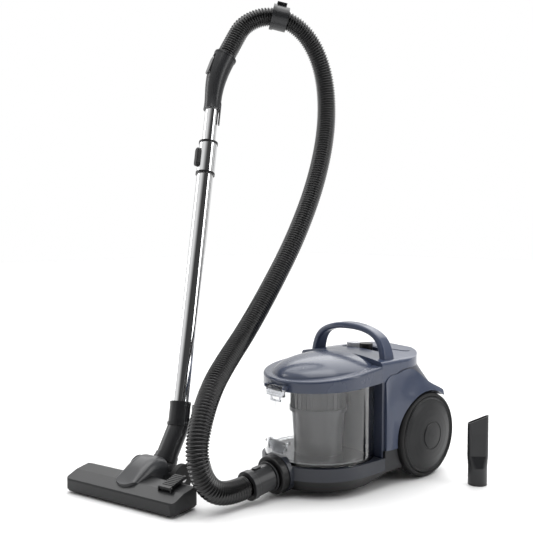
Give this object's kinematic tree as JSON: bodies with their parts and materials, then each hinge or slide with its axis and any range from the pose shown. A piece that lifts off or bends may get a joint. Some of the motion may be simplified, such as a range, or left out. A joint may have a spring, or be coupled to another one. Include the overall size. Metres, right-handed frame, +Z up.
{
  "type": "canister vacuum cleaner",
  "caption": "Canister vacuum cleaner with a clear dust bin, carry handle, corrugated hose, telescopic chrome wand, floor nozzle and crevice tool.",
  "frame": {"origin": "centre of the bounding box at the floor, cord nodes left out", "axes": "+Z up, canister facing -Y"},
  "size_m": [0.5766, 0.6659, 0.9966],
  "materials": {
    "black_plastic": "satin black moulding",
    "slate_plastic": "satin slate blue-grey moulding",
    "lid_plastic": "satin slate grey moulding",
    "navy_plastic": "satin dark blue moulding",
    "charcoal_plastic": "satin charcoal moulding",
    "graphite_plastic": "satin graphite moulding",
    "grey_plastic": "satin mid grey moulding",
    "silver_plastic": "silver painted moulding",
    "gloss_plastic": "glossy black moulding",
    "hose_plastic": "glossy corrugated hose",
    "clear_plastic": "clear moulding",
    "smoke_plastic": "smoky clear moulding",
    "rubber": "matt rubber",
    "tyre": "soft tread",
    "steel": "plain steel",
    "chrome": "polished",
    "foam": "open-cell foam",
    "paper": "pleated filter paper",
    "bristle": "nylon bristle"
  },
  "bodies": {
    "canister": {"base_pan": "black_plastic", "front_band": "slate_plastic", "lower_housing": "charcoal_plastic", "body_shell": "navy_plastic", "fairing_left": "slate_plastic", "fairing_right": "slate_plastic", "top_panel": "silver_plastic", "carry_handle": "slate_plastic", "top_cover": "slate_plastic", "axle_pins": "steel", "motor_housing": "steel", "reel_axle": "charcoal_plastic", "air_duct": "charcoal_plastic", "pre_motor_filter": "foam", "hepa_filter": "paper", "exhaust_grille": "charcoal_plastic", "cord_gland": "rubber", "inlet_collar": "black_plastic", "screws": "steel", "outer_tube": "chrome", "telescope_collar": "chrome", "collar_rings": "black_plastic", "wand_neck": "graphite_plastic", "suction_hose": "hose_plastic", "hose_clip": "graphite_plastic"},
    "bin": {"bin_cup": "clear_plastic", "bin_floor": "charcoal_plastic"},
    "lid": {"bin_lid": "lid_plastic", "lid_seal": "rubber", "cyclone_shroud": "grey_plastic", "cyclone_cone": "grey_plastic"},
    "lid_clip": {"lid_latch": "smoke_plastic"},
    "floor_clip": {"floor_latch": "smoke_plastic"},
    "rewind_key": {"rewind_button": "silver_plastic"},
    "power_key": {"power_button": "black_plastic"},
    "left_wheel": {"wheel_tyre_left": "tyre", "wheel_hub_left": "black_plastic", "wheel_cover_left": "charcoal_plastic"},
    "right_wheel": {"wheel_tyre_right": "tyre", "wheel_hub_right": "black_plastic", "wheel_cover_right": "charcoal_plastic"},
    "caster": {"caster_fork": "black_plastic"},
    "caster_roller": {"caster_wheel": "rubber"},
    "fan": {"motor_fan": "steel"},
    "reel": {"cord_reel": "charcoal_plastic"},
    "connector": {"hose_connector": "graphite_plastic"},
    "connector_key": {"connector_button": "black_plastic"},
    "upper_wand": {"inner_tube": "chrome", "handle_grip": "graphite_plastic"},
    "slider": {"suction_slider": "gloss_plastic"},
    "thumb_key": {"telescope_button": "black_plastic"},
    "swivel": {"elbow": "graphite_plastic"},
    "nozzle": {"nozzle_cover": "graphite_plastic", "nozzle_hood": "grey_plastic", "nozzle_base": "black_plastic", "nozzle_axle": "steel"},
    "pedal": {"nozzle_pedal": "black_plastic"},
    "brush": {"brush_strip": "bristle"},
    "nozzle_rollers": {"nozzle_wheels": "rubber"},
    "tool": {"crevice_tool": "graphite_plastic"}
  },
  "joints": [
    {"name": "left_wheel_roll", "type": "hinge", "parent": "canister", "child": "left_wheel", "pos_m": [0.05513, 0.24945, 0.0835], "axis": [1, 0, 0], "continuous": true},
    {"name": "right_wheel_roll", "type": "hinge", "parent": "canister", "child": "right_wheel", "pos_m": [0.05513, 0.24945, 0.0835], "axis": [1, 0, 0], "continuous": true},
    {"name": "caster_swivel", "type": "hinge", "parent": "canister", "child": "caster", "pos_m": [0.05513, 0.03745, 0.025], "axis": [0, 0, 1], "continuous": true},
    {"name": "caster_roll", "type": "hinge", "parent": "caster", "child": "caster_roller", "pos_m": [0.05513, 0.04345, 0.009], "axis": [1, 0, 0], "continuous": true},
    {"name": "bin_lift", "type": "slide", "parent": "canister", "child": "bin", "axis": [0, 0, 1], "range_m": [0, 0.12]},
    {"name": "lid_lift", "type": "slide", "parent": "bin", "child": "lid", "axis": [0, 0, 1], "range_m": [0, 0.05]},
    {"name": "lid_latch_swing", "type": "hinge", "parent": "lid", "child": "lid_clip", "pos_m": [0.05513, -0.04995, 0.202], "axis": [1, 0, 0], "range_deg": [-20, 0]},
    {"name": "floor_latch_swing", "type": "hinge", "parent": "bin", "child": "floor_clip", "pos_m": [0.05513, -0.04495, 0.098], "axis": [1, 0, 0], "range_deg": [-16, 0]},
    {"name": "rewind_press", "type": "slide", "parent": "canister", "child": "rewind_key", "axis": [0, 0, -1], "range_m": [0, 0.003], "stiffness_N_per_m": 400, "springref_m": -0.001},
    {"name": "power_press", "type": "slide", "parent": "canister", "child": "power_key", "axis": [0, 0, -1], "range_m": [0, 0.003], "stiffness_N_per_m": 400, "springref_m": -0.001},
    {"name": "fan_spin", "type": "hinge", "parent": "canister", "child": "fan", "pos_m": [0.01913, 0.24945, 0.118], "axis": [0, 1, 0], "continuous": true},
    {"name": "reel_spin", "type": "hinge", "parent": "canister", "child": "reel", "pos_m": [0.10313, 0.23545, 0.11], "axis": [1, 0, 0], "continuous": true},
    {"name": "connector_turn", "type": "hinge", "parent": "canister", "child": "connector", "pos_m": [0.05513, -0.04055, 0.042], "axis": [0, -0.9903, -0.1392], "continuous": true},
    {"name": "connector_press", "type": "slide", "parent": "connector", "child": "connector_key", "axis": [0, 0.1392, -0.9903], "range_m": [0, 0.0012], "stiffness_N_per_m": 300, "springref_m": -0.001},
    {"name": "wand_extend", "type": "slide", "parent": "canister", "child": "upper_wand", "axis": [-0.1721, 0.2631, 0.9493], "range_m": [-0.028, 0.3], "deforming": ["suction_hose", "hose_clip"]},
    {"name": "suction_slide", "type": "slide", "parent": "upper_wand", "child": "slider", "axis": [-0.0012, 0.4305, 0.9026], "range_m": [0, 0.008]},
    {"name": "telescope_press", "type": "slide", "parent": "canister", "child": "thumb_key", "axis": [0.1721, -0.2631, -0.9493], "range_m": [0, 0.002], "stiffness_N_per_m": 300, "springref_m": -0.001},
    {"name": "elbow_swivel", "type": "hinge", "parent": "canister", "child": "swivel", "pos_m": [-0.12122, -0.18826, 0.027], "axis": [-0.1426, 0.5556, 0.8192], "range_deg": [-50, 4]},
    {"name": "nozzle_pitch", "type": "hinge", "parent": "swivel", "child": "nozzle", "pos_m": [-0.12122, -0.18826, 0.027], "axis": [0.9686, 0.2487, 0], "range_deg": [-12, 35]},
    {"name": "pedal_rock", "type": "hinge", "parent": "nozzle", "child": "pedal", "pos_m": [-0.09858, -0.2764, 0.04], "axis": [0.9686, 0.2487, 0], "range_deg": [-7, 0]},
    {"name": "brush_retract", "type": "slide", "parent": "nozzle", "child": "brush", "axis": [0, 0, 1], "range_m": [0, 0.004]},
    {"name": "nozzle_wheel_roll", "type": "hinge", "parent": "nozzle", "child": "nozzle_rollers", "pos_m": [-0.12122, -0.18826, 0.027], "axis": [0.9686, 0.2487, 0], "continuous": true},
    {"name": "tool_lift", "type": "slide", "parent": "canister", "child": "tool", "axis": [0, 0, 1], "range_m": [0, 0.1]}
  ],
  "couplings": [
    {"joint": "brush_retract", "follows": "pedal_rock", "m_per_rad": -0.03274}
  ]
}
